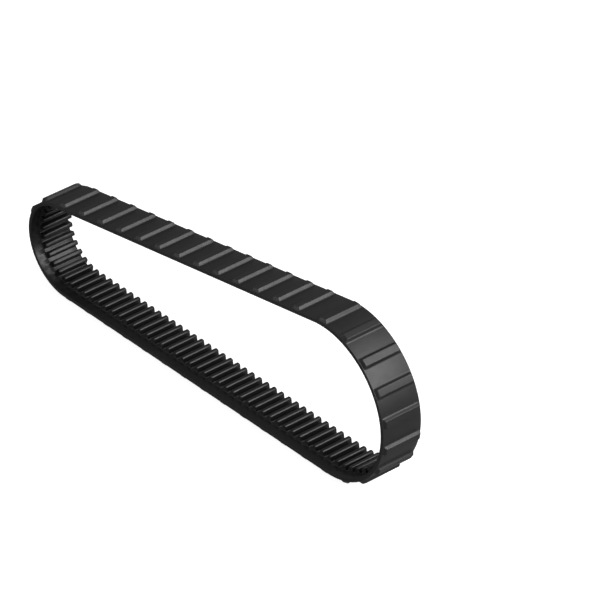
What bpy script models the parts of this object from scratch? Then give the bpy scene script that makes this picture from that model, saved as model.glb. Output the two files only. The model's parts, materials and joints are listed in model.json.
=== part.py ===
"""Rubber track: an endless toothed belt with straight tread bars, standing on its lower run.

Metres, +Z up. X runs along the lower run from the small end to the large end, Y across the belt.
The belt is round a small and a large end, joined by two straight runs. The lower run is level, so the
upper run rises towards the large end. Distances along the loop start where the upper run leaves the
small end, go up the upper run, round the large end, back along the lower run and round the small end.

The upper run is free to bow in and out. It is cut into two halves: the first turns on a hinge at the
large end, the second on a hinge at mid-run, and the second half's far end is left free at the small end.
"""

import math

import bmesh
import bpy
from mathutils import Vector

# Driving dimensions
TOOTH_COUNT = 111
TOOTH_PITCH = 0.008
SMALL_RADIUS = 0.03795  # to the belt's outer surface
LARGE_RADIUS = 0.06082
BELT_WIDTH = 0.03325
BACKING = 0.0029  # belt thickness between the teeth
CORD_DEPTH = 0.00134  # depth of the cords' centre, where the pitch is measured

# Layers, as depths below the outer surface
LAYER_GAP = 0.00025
COVER_DEPTH = 0.0008
CORD_DIAMETER = 0.0006
CORD_COUNT = 8
CORD_SPACING = 0.0038
CORD_WEB = 0.0003  # thickness of the rubberised web between two cords
COVER_CHAMFER = 0.0004

# Teeth, on the inside
TOOTH_HEIGHT = 0.00453
TOOTH_MARGIN = 0.0079  # plain strip beside the teeth
TOOTH_PHASE = 0.72  # first tooth's centre, in pitches from the start of the upper run
TOOTH_OUTLINE = (  # half of a tooth, from its foot to its tip: (half width, height)
    (0.00235, 0.0),
    (0.00207, 0.00028),
    (0.00194, 0.00240),
    (0.00174, 0.00350),
    (0.00116, 0.00430),
    (0.00040, TOOTH_HEIGHT),
)

# Tread bars, on the outside
BAR_COUNT = 41
BAR_HEIGHT = 0.0024
BAR_CLEARANCE = 0.0003  # between a bar's foot and the cover
BAR_FOOT = 0.0037  # half widths
BAR_TOP = 0.0025
BAR_END_INSET = 0.0004  # from the belt's edge to the bar's foot
BAR_END_SLOPE = 0.0013  # length of the sloping end
BAR_EDGE = 0.0005
FIRST_BAR = 0.0153  # centre of the first bar on the upper run, at the even spacing
UPPER_RUN_BARS = 13
SMALL_END_BARS = 5  # the last bars of the count, round the small end
BAR_SHIFT = -0.0061  # the bars of the upper run and the small end stand this much off the even spacing

# Cuts in the upper run, counted in tooth gaps from its start
FREE_END_CUT = 0
MID_CUT = 18
HINGE_CUT = 36
CUT_GAP = 0.0005

LARGE_ARC_STEPS = 44
SMALL_ARC_STEPS = 26

RUBBER = (0.028, 0.028, 0.029, 1.0)
TREAD_RUBBER = (0.033, 0.033, 0.034, 1.0)
TOOTH_RUBBER = (0.022, 0.022, 0.023, 1.0)
CORD_COLOUR = (0.36, 0.35, 0.33, 1.0)


def run_length():
    """Length of a straight run, so that the cord line holds a whole number of tooth pitches."""
    small, large = SMALL_RADIUS - CORD_DEPTH, LARGE_RADIUS - CORD_DEPTH
    run = 0.3
    for _ in range(20):
        taper = math.atan2(large - small, run)
        arcs = large * (math.pi + 2 * taper) + small * (math.pi - 2 * taper)
        run = (TOOTH_COUNT * TOOTH_PITCH - arcs) / 2
    return run


RUN = run_length()
TAPER = math.atan2(LARGE_RADIUS - SMALL_RADIUS, RUN)
LARGE_TURN = math.pi + 2 * TAPER
SMALL_TURN = math.pi - 2 * TAPER
SMALL_CENTRE = Vector((0.0, 0.0, BAR_HEIGHT + SMALL_RADIUS))
LARGE_CENTRE = Vector((RUN, 0.0, BAR_HEIGHT + LARGE_RADIUS))


def outward(turn):
    """Outward normal after turning by `turn` from the upper run's."""
    angle = math.pi / 2 + 2 * TAPER - turn
    return Vector((math.cos(angle), 0.0, math.sin(angle)))


def forward(normal):
    """Direction of travel along the loop where `normal` points outwards."""
    return Vector((normal.z, 0.0, -normal.x))


def loop_length(depth):
    """Length once round the loop, `depth` below the outer surface."""
    return 2 * RUN + (LARGE_RADIUS - depth) * LARGE_TURN + (SMALL_RADIUS - depth) * SMALL_TURN


def locate(distance, depth=0.0):
    """Outer surface point and outward normal, after walking `distance` at `depth` below the surface."""
    large_arc = (LARGE_RADIUS - depth) * LARGE_TURN
    distance %= loop_length(depth)
    if distance < RUN:
        normal = outward(0.0)
        return SMALL_CENTRE + SMALL_RADIUS * normal + distance * forward(normal), normal
    distance -= RUN
    if distance < large_arc:
        normal = outward(distance / (LARGE_RADIUS - depth))
        return LARGE_CENTRE + LARGE_RADIUS * normal, normal
    distance -= large_arc
    if distance < RUN:
        normal = outward(LARGE_TURN)
        return LARGE_CENTRE + LARGE_RADIUS * normal + distance * forward(normal), normal
    distance -= RUN
    normal = outward(LARGE_TURN + distance / (SMALL_RADIUS - depth))
    return SMALL_CENTRE + SMALL_RADIUS * normal, normal


def tooth_gap(index):
    """Distance along the cord line to the middle of a gap between two teeth."""
    return (index + TOOTH_PHASE - 0.5) * TOOTH_PITCH


def pieces():
    """(name, first gap, last gap) of each stretch of belt: the two halves of the upper run and the rest."""
    return (
        ("loop", HINGE_CUT, TOOTH_COUNT + FREE_END_CUT),
        ("run_a", MID_CUT, HINGE_CUT),
        ("run_b", FREE_END_CUT, MID_CUT),
    )


def stations(first_gap, last_gap):
    """Distances along the cord line where a layer has a ring: its ends, and steps round each arc."""
    start = tooth_gap(first_gap) + CUT_GAP / 2
    end = tooth_gap(last_gap) - CUT_GAP / 2
    large_arc = (LARGE_RADIUS - CORD_DEPTH) * LARGE_TURN
    small_arc = (SMALL_RADIUS - CORD_DEPTH) * SMALL_TURN
    rings = [RUN + large_arc * i / LARGE_ARC_STEPS for i in range(LARGE_ARC_STEPS + 1)]
    small_start = 2 * RUN + large_arc
    rings += [small_start + small_arc * i / SMALL_ARC_STEPS for i in range(SMALL_ARC_STEPS + 1)]
    return [start] + [ring for ring in rings if start < ring < end] + [end]


def new_object(name, mesh_builder, material, parent):
    """Makes the object `name` from a finished bmesh, with its faces turned outwards."""
    bmesh.ops.recalc_face_normals(mesh_builder, faces=mesh_builder.faces)
    mesh = bpy.data.meshes.new(name)
    mesh_builder.to_mesh(mesh)
    mesh_builder.free()
    mesh.materials.append(material)
    made = bpy.data.objects.new(name, mesh)
    bpy.context.scene.collection.objects.link(made)
    made.parent = parent
    made.matrix_parent_inverse = parent.matrix_world.inverted()
    return made


def sweep(name, first_gap, last_gap, profile, material, parent):
    """A layer: the closed `profile` of (across, depth) points carried along the loop, with flat ends."""
    builder = bmesh.new()
    rings = []
    for distance in stations(first_gap, last_gap):
        surface, normal = locate(distance, CORD_DEPTH)
        ring = [surface - depth * normal + Vector((0.0, across, 0.0)) for across, depth in profile]
        rings.append([builder.verts.new(point) for point in ring])
    count = len(profile)
    for near, far in zip(rings, rings[1:]):
        for i in range(count):
            j = (i + 1) % count
            builder.faces.new((near[i], near[j], far[j], far[i]))
    builder.faces.new(rings[0])
    builder.faces.new(rings[-1])
    return new_object(name, builder, material, parent)


def cover_profile():
    """The outer rubber: a flat strip with its two outer edges chamfered."""
    side = BELT_WIDTH / 2
    return (
        (-side, COVER_DEPTH),
        (-side, COVER_CHAMFER),
        (-side + COVER_CHAMFER, 0.0),
        (side - COVER_CHAMFER, 0.0),
        (side, COVER_CHAMFER),
        (side, COVER_DEPTH),
    )


def cord_profile():
    """The tension layer: cords side by side, held by a thin web."""
    cord, web = CORD_DIAMETER / 2, CORD_WEB / 2
    upper = []
    for i in range(CORD_COUNT):
        centre = (i - (CORD_COUNT - 1) / 2) * CORD_SPACING
        upper += [(centre - cord, web), (centre, cord), (centre + cord, web)]
    lower = [(across, -height) for across, height in reversed(upper)]
    return [(across, CORD_DEPTH + height) for across, height in upper + lower]


def tooth_band(name, first_gap, last_gap, material, parent):
    """The inner rubber: a strip with straight teeth across all but a plain margin along one edge."""
    side = BELT_WIDTH / 2
    rows = (-side, -side + TOOTH_MARGIN, side)
    back_depth = CORD_DEPTH + CORD_DIAMETER / 2 + LAYER_GAP
    builder = bmesh.new()

    def column(surface, normal, along, depth, chosen_rows):
        point = surface + along * forward(normal) - depth * normal
        return [builder.verts.new(point + Vector((0.0, rows[i], 0.0))) for i in chosen_rows]

    def land(distance):
        surface, normal = locate(distance, CORD_DEPTH)
        return column(surface, normal, 0.0, back_depth, (0, 2)), column(surface, normal, 0.0, BACKING, (0, 1, 2))

    back, front = land(tooth_gap(first_gap) + CUT_GAP / 2)
    builder.faces.new((back[0], back[1], front[2], front[1], front[0]))
    for gap in range(first_gap, last_gap):
        end = tooth_gap(gap + 1) - (CUT_GAP / 2 if gap + 1 == last_gap else 0.0)
        surface, normal = locate(tooth_gap(gap) + TOOTH_PITCH / 2, CORD_DEPTH)
        back_mid = column(surface, normal, 0.0, back_depth, (0, 2))
        foot_width = TOOTH_OUTLINE[0][0]
        left = column(surface, normal, -foot_width, BACKING, (0, 1, 2))
        right = column(surface, normal, foot_width, BACKING, (0, 1, 2))
        outline = [(-half, height) for half, height in TOOTH_OUTLINE[1:]]
        outline += [(half, height) for half, height in reversed(TOOTH_OUTLINE[1:])]
        tooth = [column(surface, normal, along, BACKING + height, (1, 2)) for along, height in outline]
        next_back, next_front = land(end)

        flanks = [left[1:]] + tooth + [right[1:]]
        for near, far in zip(flanks, flanks[1:]):
            builder.faces.new((near[0], near[1], far[1], far[0]))
        builder.faces.new([pair[0] for pair in flanks])
        for near, far in ((front, left), (right, next_front)):
            for i in (0, 1):
                builder.faces.new((near[i], near[i + 1], far[i + 1], far[i]))
        builder.faces.new((left[0], left[1], right[1], right[0]))
        for near, far in ((back, back_mid), (back_mid, next_back)):
            builder.faces.new((near[0], near[1], far[1], far[0]))
        builder.faces.new((back[0], back_mid[0], next_back[0], next_front[0], right[0], left[0], front[0]))
        builder.faces.new([back[1], back_mid[1], next_back[1], next_front[2]]
                          + [pair[1] for pair in reversed(flanks)] + [front[2]])
        back, front = next_back, next_front
    builder.faces.new((back[0], back[1], front[2], front[1], front[0]))
    return new_object(name, builder, material, parent)


def tread_bar(name, distance, material, parent):
    """A straight bar across the belt, with sloping flanks and ends and softened top edges."""
    surface, normal = locate(distance)
    foot_end = BELT_WIDTH / 2 - BAR_END_INSET
    levels = (
        (BAR_CLEARANCE, BAR_FOOT, foot_end),
        (BAR_HEIGHT, BAR_TOP, foot_end - BAR_END_SLOPE),
    )
    builder = bmesh.new()
    rings = []
    for height, half_width, half_length in levels:
        corners = ((-1, -1), (1, -1), (1, 1), (-1, 1))
        centre = surface + height * normal
        ring = [centre + i * half_width * forward(normal) + Vector((0.0, j * half_length, 0.0)) for i, j in corners]
        rings.append([builder.verts.new(point) for point in ring])
    foot, top = rings
    for i in range(4):
        j = (i + 1) % 4
        builder.faces.new((foot[i], foot[j], top[j], top[i]))
    builder.faces.new(foot)
    top_face = builder.faces.new(top)
    bmesh.ops.bevel(builder, geom=list(top_face.edges), offset=BAR_EDGE, segments=1, profile=0.5, affect="EDGES")
    return new_object(name, builder, material, parent)


def bar_distances():
    """Distance along the outer surface to each bar: even spacing, with some bars shifted."""
    spacing = loop_length(0.0) / BAR_COUNT
    shifts = [BAR_SHIFT] * BAR_COUNT
    shifts[UPPER_RUN_BARS:-SMALL_END_BARS] = [0.0] * (BAR_COUNT - UPPER_RUN_BARS - SMALL_END_BARS)
    return [FIRST_BAR + i * spacing + shift for i, shift in enumerate(shifts)]


def principled(name, colour, roughness, metallic=0.0):
    material = bpy.data.materials.new(name)
    material.use_nodes = True
    shader = material.node_tree.nodes["Principled BSDF"]
    shader.inputs["Base Color"].default_value = colour
    shader.inputs["Roughness"].default_value = roughness
    shader.inputs["Metallic"].default_value = metallic
    return material


def pivot(name, gap, parent):
    """An empty on the hinge line: across the belt, at the cords' depth, in a tooth gap."""
    surface, normal = locate(tooth_gap(gap), CORD_DEPTH)
    empty = bpy.data.objects.new(name, None)
    bpy.context.scene.collection.objects.link(empty)
    empty.location = surface - CORD_DEPTH * normal
    bpy.context.view_layer.update()
    empty.parent = parent
    empty.matrix_parent_inverse = parent.matrix_world.inverted()
    bpy.context.view_layer.update()
    return empty


def centre_along_x(root):
    """Moves the whole track so that its outermost points lie evenly about X = 0."""
    bpy.context.view_layer.update()
    along = [(piece.matrix_world @ vertex.co).x
             for piece in bpy.data.objects if piece.type == "MESH" for vertex in piece.data.vertices]
    root.location.x = -(min(along) + max(along)) / 2
    bpy.context.view_layer.update()


def build():
    for old in list(bpy.data.objects):
        bpy.data.objects.remove(old)

    cover_rubber = principled("cover_rubber", RUBBER, 0.62)
    tread_rubber = principled("tread_rubber", TREAD_RUBBER, 0.58)
    tooth_rubber = principled("tooth_rubber", TOOTH_RUBBER, 0.66)
    cord = principled("tension_cord", CORD_COLOUR, 0.8)

    root = bpy.data.objects.new("track", None)
    bpy.context.scene.collection.objects.link(root)
    large_end_hinge = pivot("large_end_hinge", HINGE_CUT, root)
    mid_run_hinge = pivot("mid_run_hinge", MID_CUT, large_end_hinge)
    parents = {"loop": root, "run_a": large_end_hinge, "run_b": mid_run_hinge}

    for name, first_gap, last_gap in pieces():
        parent = parents[name]
        sweep("cover_" + name, first_gap, last_gap, cover_profile(), cover_rubber, parent)
        sweep("cords_" + name, first_gap, last_gap, cord_profile(), cord, parent)
        tooth_band("tooth_band_" + name, first_gap, last_gap, tooth_rubber, parent)

    mid_run = tooth_gap(MID_CUT)
    for number, distance in enumerate(bar_distances(), start=1):
        body = "loop" if number > UPPER_RUN_BARS else "run_b" if distance < mid_run else "run_a"
        tread_bar(f"tread_bar_{number:02d}", distance, tread_rubber, parents[body])

    centre_along_x(root)


build()
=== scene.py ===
"""Looks of the rubber track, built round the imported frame. Metres, +Z up.

Distances along the loop start where the upper run leaves the small end. They go up the upper run,
round the large end, back along the lower run and round the small end. "Across" is along Y, and "depth"
is below the belt's outer surface. The belt is one moulding in the real thing, so its pieces meet where
no seam shows: the cover's under a tread bar, the teeth's in the middle of a gap between two teeth.
"""

import json
import math

import bpy
import numpy as np
from mathutils import Matrix, Vector


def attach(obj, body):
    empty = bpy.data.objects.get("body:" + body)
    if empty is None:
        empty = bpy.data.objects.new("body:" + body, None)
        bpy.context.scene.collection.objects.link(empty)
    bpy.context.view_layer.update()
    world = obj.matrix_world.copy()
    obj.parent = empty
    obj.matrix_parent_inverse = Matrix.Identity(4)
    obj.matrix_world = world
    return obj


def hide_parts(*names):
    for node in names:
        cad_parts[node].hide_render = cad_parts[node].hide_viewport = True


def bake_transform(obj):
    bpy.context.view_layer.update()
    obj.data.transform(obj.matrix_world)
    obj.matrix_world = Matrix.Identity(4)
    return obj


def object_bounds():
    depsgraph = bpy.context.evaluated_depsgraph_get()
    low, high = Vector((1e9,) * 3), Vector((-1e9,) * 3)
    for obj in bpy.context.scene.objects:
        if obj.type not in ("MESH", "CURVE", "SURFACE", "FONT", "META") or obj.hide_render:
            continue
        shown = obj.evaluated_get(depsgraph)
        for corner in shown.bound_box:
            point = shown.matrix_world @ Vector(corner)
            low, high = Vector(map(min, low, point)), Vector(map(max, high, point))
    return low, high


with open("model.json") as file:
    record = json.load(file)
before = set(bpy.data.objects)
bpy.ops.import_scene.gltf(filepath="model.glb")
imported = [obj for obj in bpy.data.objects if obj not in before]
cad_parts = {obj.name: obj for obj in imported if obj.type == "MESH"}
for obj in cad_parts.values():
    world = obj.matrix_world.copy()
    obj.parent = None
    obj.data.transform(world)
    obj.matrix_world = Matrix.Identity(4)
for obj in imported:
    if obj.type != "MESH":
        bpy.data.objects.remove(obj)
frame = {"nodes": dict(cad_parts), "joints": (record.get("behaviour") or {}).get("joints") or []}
cad_low, cad_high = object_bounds()

# The CAD part's driving dimensions
TOOTH_COUNT = 111
TOOTH_PITCH = 0.008
SMALL_RADIUS = 0.03795  # to the belt's outer surface
LARGE_RADIUS = 0.06082
BELT_WIDTH = 0.03325
BACKING = 0.0029  # belt thickness between the teeth
CORD_DEPTH = 0.00134  # where the tooth pitch is measured
TOOTH_HEIGHT = 0.00453
TOOTH_MARGIN = 0.0079
TOOTH_PHASE = 0.72
BAR_COUNT = 41
BAR_HEIGHT = 0.0024
FIRST_BAR = 0.0153
UPPER_RUN_BARS = 13
SMALL_END_BARS = 5
BAR_SHIFT = -0.0061  # of the bars on the upper run and round the small end

# Tooth gaps where the CAD belt is cut and hinged
FREE_END_GAP = 0
MID_GAP = 18
HINGE_GAP = 36

# Where the visual belt's pieces meet: a bar for the cover, and a tooth gap for the teeth
FREE_SEAM = (4, 9)
MIDDLE_SEAM = (11, 28)
LARGE_END_SEAM = (16, 43)
MID_BEND = 0.060  # the belt bends over this far to each side of a hinge
HINGE_BEND = 0.030

# Shapes that only the looks have
COVER_THICKNESS = 0.0008
LIP_DEPTH = 0.00187  # the cover's lips close over the cord layer down to here
LIP_WIDTH = 0.0011
LIP_ROUND = 0.0001
COVER_EDGE_ROUND = 0.0003
TOOTH_BACK = 0.00189  # the tooth band's flat back is this far below the outer surface
BACK_CHAMFER = 0.0001
SIDE = BELT_WIDTH / 2
SURFACE_STEP = 0.0022  # length of one facet of the cover
TOOTH_FOOT = 0.00212  # half widths of the tooth's sharp outline
TOOTH_TIP = 0.00172
FOOT_FILLET = 0.00045
TIP_ROUND = 0.0013
TOOTH_LAND = 0.0031
TOOTH_EDGE_ROUND = 0.00025
TOOTH_END_FILLET = 0.0003
WALL = 0.00001  # lean of a tooth's end wall, so that its rows stay in order
BAR_TOP = 0.0025  # half width of the bar's sharp outline
BAR_FLANK_SLOPE = math.radians(60)
BAR_TOP_ROUND = 0.0005
BAR_FOOT_FILLET = 0.0016
BAR_END_SLOPE = math.radians(60)
BAR_END_INSET = 0.00035
BAR_END_FILLET = 0.0004
BAR_SINK = 0.00005
BAR_CORNER = 0.0003  # radius of the bar's four corners seen from above, at its top
BAR_CORNER_GROWTH = 0.25  # and how much the radius grows with each unit of height lost
BAR_CROWN_WIDTH = 0.9  # the top face's ring, as a share of the top's width
BAR_CROWN_INSET = 0.0002
BAR_REACH = 0.0050  # half of what a bar covers along the belt, foot included
TONGUE_INSET = 0.0003
TONGUE_ROUND = 0.0004
TONGUE_START, TONGUE_END = -0.003, 0.001  # from the free end, along the cord line
SHARP_ANGLE = math.radians(38)

CORNERS = ((1, 1), (-1, 1), (-1, -1), (1, -1))


# ---------------------------------------------------------------- the loop

def run_length():
    """Length of a straight run, from the teeth round the loop and the two radii."""
    small, large = SMALL_RADIUS - CORD_DEPTH, LARGE_RADIUS - CORD_DEPTH
    run = 0.3
    for _ in range(20):
        taper = math.atan2(large - small, run)
        arcs = large * (math.pi + 2 * taper) + small * (math.pi - 2 * taper)
        run = (TOOTH_COUNT * TOOTH_PITCH - arcs) / 2
    return run


RUN = run_length()
TAPER = math.atan2(LARGE_RADIUS - SMALL_RADIUS, RUN)
LARGE_TURN = math.pi + 2 * TAPER
SMALL_TURN = math.pi - 2 * TAPER


def outward(turn):
    """Outward normal after the loop has turned this far from the upper run's direction."""
    angle = math.pi / 2 + 2 * TAPER - turn
    return Vector((math.cos(angle), 0.0, math.sin(angle)))


def forward(normal):
    """The direction of travel along the loop where the outward normal is this one."""
    return Vector((normal.z, 0.0, -normal.x))


def tooth_gap(index):
    """Distance along the cord line to the middle of a gap between two teeth."""
    return (index + TOOTH_PHASE - 0.5) * TOOTH_PITCH


def small_centre():
    """The small end's centre, from where the frame has its large-end hinge."""
    hinge = Vector(next(j["pos_m"] for j in frame["joints"] if j["name"] == "run_bow"))
    normal = outward(0.0)
    reach = (SMALL_RADIUS - CORD_DEPTH) * normal + tooth_gap(HINGE_GAP) * forward(normal)
    return hinge - reach


SMALL_CENTRE = small_centre()
LARGE_CENTRE = SMALL_CENTRE + Vector((RUN, 0.0, LARGE_RADIUS - SMALL_RADIUS))


def loop_length(depth):
    """Length once round the loop at a depth below the outer surface."""
    return 2 * RUN + (LARGE_RADIUS - depth) * LARGE_TURN + (SMALL_RADIUS - depth) * SMALL_TURN


def locate(distance, depth=0.0):
    """Outer surface point and outward normal, after walking `distance` at `depth` below the surface."""
    large_arc = (LARGE_RADIUS - depth) * LARGE_TURN
    distance %= loop_length(depth)
    if distance < RUN:
        normal = outward(0.0)
        return SMALL_CENTRE + SMALL_RADIUS * normal + distance * forward(normal), normal
    distance -= RUN
    if distance < large_arc:
        normal = outward(distance / (LARGE_RADIUS - depth))
        return LARGE_CENTRE + LARGE_RADIUS * normal, normal
    distance -= large_arc
    if distance < RUN:
        normal = outward(LARGE_TURN)
        return LARGE_CENTRE + LARGE_RADIUS * normal + distance * forward(normal), normal
    distance -= RUN
    normal = outward(LARGE_TURN + distance / (SMALL_RADIUS - depth))
    return SMALL_CENTRE + SMALL_RADIUS * normal, normal


def bar_distance(number):
    """Distance along the outer surface to the middle of a bar, counted from 1."""
    even = UPPER_RUN_BARS < number <= BAR_COUNT - SMALL_END_BARS
    shift = 0.0 if even else BAR_SHIFT
    return FIRST_BAR + (number - 1) * loop_length(0.0) / BAR_COUNT + shift


# ---------------------------------------------------------------- mesh helpers

def round_corner(before, corner, after, radius, steps):
    """Points of the arc that rounds one corner of a flat outline."""
    corner = Vector(corner)
    back, on = (Vector(before) - corner).normalized(), (Vector(after) - corner).normalized()
    half = back.angle(on) / 2
    reach = radius / math.tan(half)
    centre = corner + (back + on).normalized() * (radius / math.sin(half))
    start, end = corner + back * reach - centre, corner + on * reach - centre
    sweep = start.angle(end)
    return [centre + (start * math.sin((1 - k / steps) * sweep) + end * math.sin(k / steps * sweep))
            / math.sin(sweep) for k in range(steps + 1)]


def round_outline(corners, closed):
    """An outline with rounded corners, each (x, y, radius, steps). Radius 0 leaves a corner sharp."""
    points = []
    count = len(corners)
    for i, (x, y, radius, steps) in enumerate(corners):
        if radius == 0 or (not closed and i in (0, count - 1)):
            points.append(Vector((x, y)))
            continue
        before, after = corners[i - 1][:2], corners[(i + 1) % count][:2]
        points += round_corner(before, (x, y), after, radius, steps)
    return points


def link(name, vertices, faces, material):
    """A new smooth-shaded object, with its sharp edges kept."""
    mesh = bpy.data.meshes.new(name)
    mesh.from_pydata([tuple(v) for v in vertices], [], faces)
    mesh.materials.append(material)
    mesh.shade_smooth()
    mesh.set_sharp_from_angle(angle=SHARP_ANGLE)
    made = bpy.data.objects.new(name, mesh)
    bpy.context.scene.collection.objects.link(made)
    return made


def tube(name, rings, material):
    """A closed solid from rings of points, all of the same count, with flat ends."""
    size = len(rings[0])
    vertices = [point for ring in rings for point in ring]
    faces = []
    for r in range(len(rings) - 1):
        for i in range(size):
            j = (i + 1) % size
            faces.append((r * size + i, r * size + j, (r + 1) * size + j, (r + 1) * size + i))
    last = (len(rings) - 1) * size
    faces.append(tuple(reversed(range(size))))
    faces.append(tuple(range(last, last + size)))
    return link(name, vertices, faces, material)


# ---------------------------------------------------------------- belt

def cover_outline():
    """Across and depth, once round the cover: a thin skin whose two lips close over the cord layer."""
    inner = SIDE - LIP_WIDTH
    half = [
        (SIDE, LIP_DEPTH, LIP_ROUND, 2),
        (SIDE, 0.0, COVER_EDGE_ROUND, 4),
    ]
    corners = half + [(-x, y, r, n) for x, y, r, n in reversed(half)]
    corners += [(-inner, LIP_DEPTH, 0, 0), (-inner, COVER_THICKNESS, COVER_EDGE_ROUND, 2)]
    corners += [(inner, COVER_THICKNESS, COVER_EDGE_ROUND, 2), (inner, LIP_DEPTH, 0, 0)]
    return round_outline(corners, closed=True)


def cover(name, start, end, material):
    """The outer skin between two distances along the outer surface."""
    outline = cover_outline()
    count = math.ceil((end - start) / SURFACE_STEP)
    rings = []
    for k in range(count + 1):
        surface, normal = locate(start + (end - start) * k / count)
        rings.append([surface - depth * normal + Vector((0, across, 0)) for across, depth in outline])
    return tube(name, rings, material)


def tooth_outline():
    """(along, height, inward normal) of one tooth and half of the land on each side of it."""
    corners = [
        (-TOOTH_LAND, 0.0, 0, 0),
        (-TOOTH_FOOT, 0.0, FOOT_FILLET, 4),
        (-TOOTH_TIP, TOOTH_HEIGHT, TIP_ROUND, 6),
        (TOOTH_TIP, TOOTH_HEIGHT, TIP_ROUND, 6),
        (TOOTH_FOOT, 0.0, FOOT_FILLET, 4),
        (TOOTH_LAND, 0.0, 0, 0),
    ]
    points = round_outline(corners, closed=False)
    found = []
    for i, point in enumerate(points):
        ahead = points[min(i + 1, len(points) - 1)] - points[max(i - 1, 0)]
        found.append((point, Vector((ahead.y, -ahead.x)).normalized()))
    return found


def tooth_rows():
    """(across, inset, cap) of each row along the inner surface: inset rounds an edge, cap limits height."""
    edge, foot = TOOTH_EDGE_ROUND, TOOTH_END_FILLET
    tooth_end = -SIDE + TOOTH_MARGIN
    turns = [math.radians(angle) for angle in (0, 30, 60, 90)]
    arc = [(1 - math.cos(angle), 1 - math.sin(angle)) for angle in turns]
    rows = [(-SIDE + edge * over, edge * down, 0.0) for over, down in arc]
    rows += [(tooth_end - foot * down, 0.0, foot * over) for over, down in arc]
    rows += [(tooth_end + WALL + edge * over, edge * down, math.inf) for over, down in arc]
    rows += [(tooth_end + (SIDE - tooth_end) * share, 0.0, math.inf) for share in (0.25, 0.5, 0.75)]
    rows += [(SIDE - edge * over, edge * down, math.inf) for over, down in reversed(arc)]
    return rows


def tooth_ring(rows, distance, centre, along, height, inward):
    """One ring of the tooth band: its inner surface, and its flat back."""
    surface, normal = locate(distance, CORD_DEPTH)
    land = surface - BACKING * normal
    tooth_surface, tooth_normal = locate(centre, CORD_DEPTH)
    rigid = tooth_surface + along * forward(tooth_normal) - BACKING * tooth_normal
    ring = []
    for across, inset, cap in rows:
        if cap == 0:
            point = land + inset * normal
        else:
            slide, rise = inset * inward.x, min(height + inset * inward.y, cap)
            point = rigid + slide * forward(tooth_normal) - rise * tooth_normal
        ring.append(point + Vector((0, across, 0)))
    edge = BACK_CHAMFER
    back = surface - TOOTH_BACK * normal
    for across, depth in ((SIDE, edge), (SIDE - edge, 0), (-SIDE + edge, 0), (-SIDE, edge)):
        ring.append(back - depth * normal + Vector((0, across, 0)))
    return ring


def tooth_band(name, first_gap, last_gap, material):
    """The inner layer from one tooth gap to another."""
    rows = tooth_rows()
    outline = tooth_outline()
    rings = []
    for gap in range(first_gap, last_gap):
        start, centre = tooth_gap(gap), tooth_gap(gap) + TOOTH_PITCH / 2
        rings.append(tooth_ring(rows, start, start, 0.0, 0.0, Vector((0, -1))))
        for (along, height), inward in outline:
            rings.append(tooth_ring(rows, centre + along, centre, along, height, inward))
    end = tooth_gap(last_gap)
    rings.append(tooth_ring(rows, end, end, 0.0, 0.0, Vector((0, -1))))
    return tube(name, rings, material)


# ---------------------------------------------------------------- tread bars

def bar_side():
    """(half width, height) down a bar's long flank, from its top to its foot."""
    run = BAR_HEIGHT / math.tan(BAR_FLANK_SLOPE)
    corners = [
        (0.0, BAR_HEIGHT, 0, 0),
        (BAR_TOP, BAR_HEIGHT, BAR_TOP_ROUND, 4),
        (BAR_TOP + run, 0.0, BAR_FOOT_FILLET, 7),
        (BAR_TOP + run + BAR_FOOT_FILLET, 0.0, 0, 0),
    ]
    return round_outline(corners, closed=False)[1:-1]


def bar_end(heights):
    """Half length of the bar at each height, from a sloping end with its own edge and foot rounded."""
    run = BAR_HEIGHT / math.tan(BAR_END_SLOPE)
    foot = SIDE - BAR_END_INSET - BAR_END_FILLET * math.tan(BAR_END_SLOPE / 2)
    corners = [
        (0.0, BAR_HEIGHT, 0, 0),
        (foot - run, BAR_HEIGHT, BAR_TOP_ROUND, 8),
        (foot, 0.0, BAR_END_FILLET, 8),
        (SIDE, 0.0, 0, 0),
    ]
    points = round_outline(corners, closed=False)[1:-1]
    levels = [p.y for p in reversed(points)]
    lengths = [p.x for p in reversed(points)]
    return [float(np.interp(h, levels, lengths)) for h in heights]


def bar_ring(half_width, half_length, height):
    """(along, across, height) round a bar at one height, with rounded corners and even spacing."""
    radius = BAR_CORNER + BAR_CORNER_GROWTH * (BAR_HEIGHT - height)
    ring = []
    for along, across in CORNERS:
        start = math.atan2(across, along) - math.pi / 4
        for k in range(5):
            angle = start + math.pi / 2 * k / 4
            ring.append((along * (half_width - radius) + radius * math.cos(angle),
                         across * (half_length - radius) + radius * math.sin(angle), height))
        if along == across:
            sweep = np.linspace(half_width - radius, radius - half_width, 6)[1:-1].tolist()
            ring += [(along * s, across * half_length, height) for s in sweep]
        else:
            sweep = np.linspace(half_length - radius, radius - half_length, 10)[1:-1].tolist()
            ring += [(along * half_width, across * s, height) for s in sweep]
    return ring


def tread_bar(number, material):
    """A bar moulded on the cover, following its curve, with a concave foot that runs out on the cover."""
    flank = bar_side()
    lengths = bar_end([p.y for p in flank])
    rings = [bar_ring(BAR_CROWN_WIDTH * flank[0].x, lengths[0] - BAR_CROWN_INSET, BAR_HEIGHT)]
    rings += [bar_ring(p.x, length, p.y) for p, length in zip(flank, lengths)]
    rings.append([(along, across, -BAR_SINK) for along, across, _ in rings[-1]])
    middle = bar_distance(number)
    placed = []
    for ring in rings:
        placed.append([])
        for along, across, height in ring:
            surface, normal = locate(middle + along)
            placed[-1].append(surface + height * normal + Vector((0, across, 0)))
    return tube(f"bar_{number:02d}", placed, material)


# ---------------------------------------------------------------- materials

def new_material(name):
    material = bpy.data.materials.new(name)
    material.use_nodes = True
    nodes, links = material.node_tree.nodes, material.node_tree.links
    return material, nodes, links, nodes["Principled BSDF"]


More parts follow.
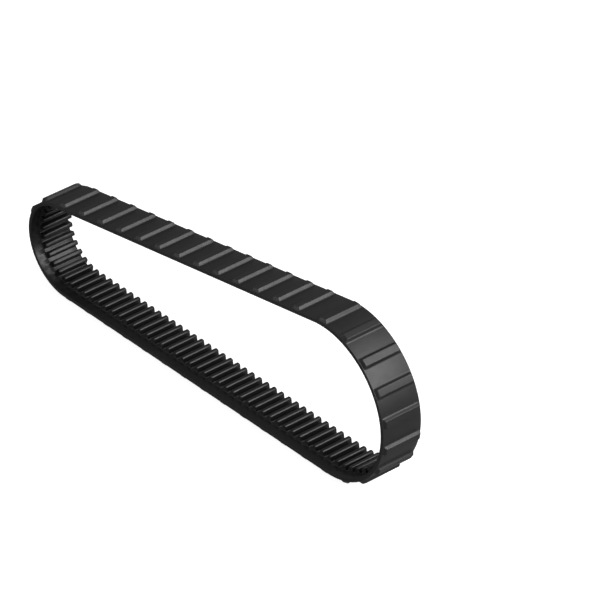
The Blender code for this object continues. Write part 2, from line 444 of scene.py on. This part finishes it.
def noise(nodes, links, source, scale, detail, roughness=0.5):
    """A noise texture's value."""
    node = nodes.new("ShaderNodeTexNoise")
    node.inputs["Scale"].default_value = scale
    node.inputs["Detail"].default_value = detail
    node.inputs["Roughness"].default_value = roughness
    links.new(source, node.inputs["Vector"])
    return node.outputs["Fac"]


def remap(nodes, links, source, low, high, to_low, to_high, curve="LINEAR"):
    """A value stretched from one range to another, and held at the range's ends."""
    node = nodes.new("ShaderNodeMapRange")
    node.interpolation_type = curve
    for socket, value in (("From Min", low), ("From Max", high), ("To Min", to_low), ("To Max", to_high)):
        node.inputs[socket].default_value = value
    links.new(source, node.inputs["Value"])
    return node.outputs["Result"]


def blend_colours(nodes, links, factor, dark, light):
    """A colour between two, by a factor from 0 to 1."""
    node = nodes.new("ShaderNodeMix")
    node.data_type = "RGBA"
    node.inputs[6].default_value = (*dark, 1)
    node.inputs[7].default_value = (*light, 1)
    links.new(factor, node.inputs[0])
    return node.outputs[2]


RUBBERS = {  # darkest and lightest colour, smoothest and roughest gloss
    "cover_rubber": ((0.009, 0.009, 0.0095), (0.015, 0.015, 0.0155), 0.40, 0.49),
    "tread_rubber": ((0.010, 0.010, 0.0105), (0.016, 0.016, 0.0165), 0.38, 0.47),
    # the teeth's colours are about half the cover's though the belt is one moulding: painted shade on the
    # inside of the loop
    "tooth_rubber": ((0.005, 0.005, 0.0053), (0.009, 0.009, 0.0095), 0.33, 0.37),
}
CLOUD_SCALE = 45  # noise scales, per metre
GRAIN_SCALE = 1400
GLOSS_SCALE = 260
GRAIN_DEPTH = 0.00003
GRAIN_STRENGTH = 0.35
CLOUD_SHARE, GRAIN_SHARE = 0.6, 0.4  # of the change from the dark to the light colour
NOISE_LOW, NOISE_HIGH = 0.3, 0.7  # the part of the noise's range that is used
STRAND_SCALE = 900
STRAND_DEPTH = 0.00005
STRAND_STRENGTH = 0.5
# the strands' grooves take the darker colour, a painted shade, and their crests the lighter, a painted
# highlight
FIBRE_SHADOW = (0.22, 0.21, 0.19)
FIBRE_LIGHT = (0.46, 0.45, 0.42)


def rubber(name):
    """Moulded black rubber: satin, with a fine grain, faint cloudy patches and uneven gloss."""
    dark, light, smooth, rough = RUBBERS[name]
    material, nodes, links, shader = new_material(name)
    place = nodes.new("ShaderNodeTexCoord").outputs["Object"]
    cloud = noise(nodes, links, place, CLOUD_SCALE, 3, 0.6)
    grain = noise(nodes, links, place, GRAIN_SCALE, 3, 0.7)
    gloss = noise(nodes, links, place, GLOSS_SCALE, 5, 0.65)
    tone = nodes.new("ShaderNodeMath")
    tone.operation = "ADD"
    links.new(remap(nodes, links, cloud, NOISE_LOW, NOISE_HIGH, 0.0, CLOUD_SHARE), tone.inputs[0])
    links.new(remap(nodes, links, grain, NOISE_LOW, NOISE_HIGH, 0.0, GRAIN_SHARE), tone.inputs[1])
    links.new(blend_colours(nodes, links, tone.outputs[0], dark, light), shader.inputs["Base Color"])
    uneven = remap(nodes, links, gloss, NOISE_LOW, NOISE_HIGH, smooth, rough)
    links.new(uneven, shader.inputs["Roughness"])
    bump = nodes.new("ShaderNodeBump")
    bump.inputs["Strength"].default_value = GRAIN_STRENGTH
    bump.inputs["Distance"].default_value = GRAIN_DEPTH
    links.new(grain, bump.inputs["Height"])
    links.new(bump.outputs["Normal"], shader.inputs["Normal"])
    shader.inputs["IOR"].default_value = 1.5
    shader.inputs["Specular IOR Level"].default_value = 0.5
    return material


def cord_fibre(name):
    """Twisted fibre: slanting strands along each cord, coloured darker in their grooves as painted shade
    and lighter on their crests as painted light.
    """
    material, nodes, links, shader = new_material(name)
    place = nodes.new("ShaderNodeTexCoord").outputs["Object"]
    wave = nodes.new("ShaderNodeTexWave")
    wave.bands_direction = "DIAGONAL"
    wave.inputs["Scale"].default_value = STRAND_SCALE
    wave.inputs["Distortion"].default_value = 1.5
    links.new(place, wave.inputs["Vector"])
    # colour follows the bump's bands: painted shade in the grooves, painted light on the crests
    colour = blend_colours(nodes, links, wave.outputs["Fac"], FIBRE_SHADOW, FIBRE_LIGHT)
    links.new(colour, shader.inputs["Base Color"])
    bump = nodes.new("ShaderNodeBump")
    bump.inputs["Strength"].default_value = STRAND_STRENGTH
    bump.inputs["Distance"].default_value = STRAND_DEPTH
    links.new(wave.outputs["Fac"], bump.inputs["Height"])
    links.new(bump.outputs["Normal"], shader.inputs["Normal"])
    shader.inputs["Roughness"].default_value = 0.8
    return material


# ---------------------------------------------------------------- assembly

def bend(piece):
    """Bakes a piece's placement into its mesh and leaves it on no body; the piece itself is not bent."""
    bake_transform(piece)


def follow(piece, stretch):
    """Attaches a piece to its stretch's body; pieces of the mid_run and large_end stretches only have their
    placement baked.
    """
    if stretch == "mid_run":
        bend(piece)
    elif stretch == "large_end":
        bend(piece)
    else:
        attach(piece, stretch)


def build_belt(cover_rubber, tooth_rubber):
    """The cover and the tooth band, each in four stretches: two at the hinges, left on no body, and two
    that ride.
    """
    first, last = tooth_gap(FREE_END_GAP), tooth_gap(FREE_END_GAP + TOOTH_COUNT)
    (bar_a, gap_a), (bar_b, gap_b), (bar_c, gap_c) = FREE_SEAM, MIDDLE_SEAM, LARGE_END_SEAM
    whole = loop_length(0.0)
    stretches = (
        ("free_end", "run_b", first, bar_distance(bar_a), FREE_END_GAP, gap_a, ("run_b",)),
        ("mid_run", "mid_run", bar_distance(bar_a), bar_distance(bar_b), gap_a, gap_b, ("run_b", "run_a")),
        ("hinge", "large_end", bar_distance(bar_b), bar_distance(bar_c), gap_b, gap_c, ("run_a",)),
        ("round", "loop", bar_distance(bar_c), whole + first, gap_c, TOOTH_COUNT, ("loop",)),
    )
    for name, stretch, start, end, first_gap, last_gap, bodies in stretches:
        skin = cover("cover_" + name, start, end, cover_rubber)
        follow(skin, stretch)
        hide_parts(*["cover_" + body for body in bodies])
        teeth = tooth_band("teeth_" + name, first_gap, last_gap, tooth_rubber)
        follow(teeth, stretch)
        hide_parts(*["tooth_band_" + body for body in bodies])


def bar_stretch(number):
    """The stretch of belt that a bar moves with."""
    distance = bar_distance(number)
    mid, hinge = tooth_gap(MID_GAP), tooth_gap(HINGE_GAP)
    if distance < mid - MID_BEND - BAR_REACH:
        return "run_b"
    if distance < mid + MID_BEND + BAR_REACH:
        return "mid_run"
    if distance < hinge - HINGE_BEND - BAR_REACH:
        return "run_a"
    if distance < hinge + HINGE_BEND + BAR_REACH:
        return "large_end"
    return "loop"


def build_bars(material):
    """All the tread bars, each in place of its plain CAD bar."""
    for number in range(1, BAR_COUNT + 1):
        bar = tread_bar(number, material)
        follow(bar, bar_stretch(number))
        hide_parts(f"tread_bar_{number:02d}")


def build_tongue(material):
    """A short end of the free run that stays inside the small end's belt, so that no gap opens there."""
    side, top, bottom = SIDE - TONGUE_INSET, TONGUE_INSET, BACKING - TONGUE_INSET
    sharp = ((side, top), (-side, top), (-side, bottom), (side, bottom))
    outline = round_outline([(x, y, TONGUE_ROUND, 3) for x, y in sharp], closed=True)
    rings = []
    for distance in np.linspace(TONGUE_START, TONGUE_END, 5).tolist():
        surface, normal = locate(tooth_gap(FREE_END_GAP) + distance, CORD_DEPTH)
        rings.append([surface - depth * normal + Vector((0, across, 0)) for across, depth in outline])
    tongue = tube("free_end_tongue", rings, material)
    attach(tongue, "run_b")


def build_object():
    """The whole track: belt, bars, the free end's tongue, and the cords inside."""
    cover_rubber = rubber("cover_rubber")
    tread_rubber = rubber("tread_rubber")
    # the teeth's rubber is painted darker than the cover's, as shade inside the loop
    tooth_rubber = rubber("tooth_rubber")
    build_belt(cover_rubber, tooth_rubber)
    build_bars(tread_rubber)
    build_tongue(tooth_rubber)
    fibre = cord_fibre("tension_cord")
    for body in ("loop", "run_a", "run_b"):
        frame["nodes"]["cords_" + body].material_slots[0].material = fibre


# ---------------------------------------------------------------- stage, light and camera

VIEW_TARGET = Vector((0.0341, 0.0456, 0.0659))
VIEW_AZIMUTH = math.radians(51.24)
VIEW_ELEVATION = math.radians(33.306)
VIEW_ROLL = math.radians(-1.709)
VIEW_DISTANCE = 3.656
LENS = 318.84  # millimetres, on the 36 mm sensor

FLOOR_SIZE = 20.0  # half its width
FLOOR_DROP = 0.0002
FLOOR_GREYS = ((0.50, 0.50, 0.50), (0.54, 0.54, 0.54))
FLOOR_GLOW = 0.88
ROOM_LIGHT = 0.155  # even light from all round
GLOW_BEHIND = ((0.0, 1.0, 0.0), 0.08)
GLOW_BELOW = ((0.7, 0.0, -0.7), 0.17)
LIGHT_DISTANCE = 2.0
LIGHTS = (  # name, direction from the object, width, power
    ("key", (0.77, 0.28, 0.57), 1.45, 32),
    ("back", (0.34, 0.45, 0.82), 1.3, 11),
    ("fill", (-0.62, -0.70, 0.36), 1.3, 6),
    ("side", (0.68, -0.68, 0.26), 1.3, 8),
)


def build_camera():
    """The camera: far off with a long lens, above the large end's near side, and slightly rolled."""
    data = bpy.data.cameras.new("camera")
    data.lens = LENS
    data.clip_end = 100
    camera = bpy.data.objects.new("camera", data)
    bpy.context.scene.collection.objects.link(camera)
    level = math.cos(VIEW_ELEVATION)
    right, front = math.sin(VIEW_AZIMUTH) * level, math.cos(VIEW_AZIMUTH) * level
    back = Vector((right, -front, math.sin(VIEW_ELEVATION)))
    camera.location = VIEW_TARGET + VIEW_DISTANCE * back
    turned = (-back).to_track_quat("-Z", "Y").to_matrix() @ Matrix.Rotation(VIEW_ROLL, 3, "Z")
    camera.rotation_euler = turned.to_euler()
    bpy.context.scene.camera = camera


def build_floor():
    """A plain white floor. It takes a faint shadow, but throws no light back on the black rubber."""
    material, nodes, links, shader = new_material("floor")
    place = nodes.new("ShaderNodeTexCoord").outputs["Object"]
    speckle = noise(nodes, links, place, 30, 2)
    tint = blend_colours(nodes, links, speckle, *FLOOR_GREYS)
    links.new(tint, shader.inputs["Base Color"])
    shader.inputs["Roughness"].default_value = 0.9
    shader.inputs["Emission Color"].default_value = (1, 1, 1, 1)
    shader.inputs["Emission Strength"].default_value = FLOOR_GLOW
    vertices = [Vector((-x * FLOOR_SIZE, -y * FLOOR_SIZE, -FLOOR_DROP)) for x, y in CORNERS]
    floor = link("floor", vertices, [(0, 1, 2, 3)], material)
    floor.visible_diffuse = False
    floor.visible_glossy = False
    floor.visible_shadow = False


def glow(nodes, links, ray, towards, brightness):
    """Light from one half of the surroundings, strongest in the given direction."""
    facing = nodes.new("ShaderNodeVectorMath")
    facing.operation = "DOT_PRODUCT"
    facing.inputs[1].default_value = Vector(towards).normalized()
    links.new(ray, facing.inputs[0])
    return remap(nodes, links, facing.outputs["Value"], 0.0, 1.0, 0.0, brightness, "SMOOTHSTEP")


def build_world():
    """Dim even surroundings, lighter behind and low on the right. Seen directly: white."""
    world = bpy.data.worlds.new("studio")
    bpy.context.scene.world = world
    world.use_nodes = True
    nodes, links = world.node_tree.nodes, world.node_tree.links
    background = nodes["Background"]
    ray = nodes.new("ShaderNodeTexCoord").outputs["Generated"]
    behind = glow(nodes, links, ray, *GLOW_BEHIND)
    below = glow(nodes, links, ray, *GLOW_BELOW)
    both = nodes.new("ShaderNodeMath")
    both.operation = "ADD"
    links.new(behind, both.inputs[0])
    links.new(below, both.inputs[1])
    strength = remap(nodes, links, both.outputs[0], 0.0, 1.0, ROOM_LIGHT, 1.0 + ROOM_LIGHT)
    path = nodes.new("ShaderNodeLightPath")
    seen = nodes.new("ShaderNodeMix")
    links.new(path.outputs["Is Camera Ray"], seen.inputs[0])
    links.new(strength, seen.inputs[2])
    seen.inputs[3].default_value = 1.0
    links.new(seen.outputs[0], background.inputs["Strength"])
    background.inputs["Color"].default_value = (1, 1, 1, 1)


def area_light(name, direction, width, power):
    """A round soft light that faces the object."""
    data = bpy.data.lights.new(name, "AREA")
    data.shape = "DISK"
    data.size = width
    data.energy = power
    light = bpy.data.objects.new(name, data)
    bpy.context.scene.collection.objects.link(light)
    direction = Vector(direction).normalized()
    light.location = (cad_low + cad_high) / 2 + LIGHT_DISTANCE * direction
    light.rotation_euler = direction.to_track_quat("Z", "Y").to_euler()


def build_stage():
    """Camera, floor and light."""
    build_camera()
    build_floor()
    build_world()
    for light in LIGHTS:
        area_light(*light)
    bpy.context.scene.view_settings.view_transform = "Standard"


build_object()
build_stage()
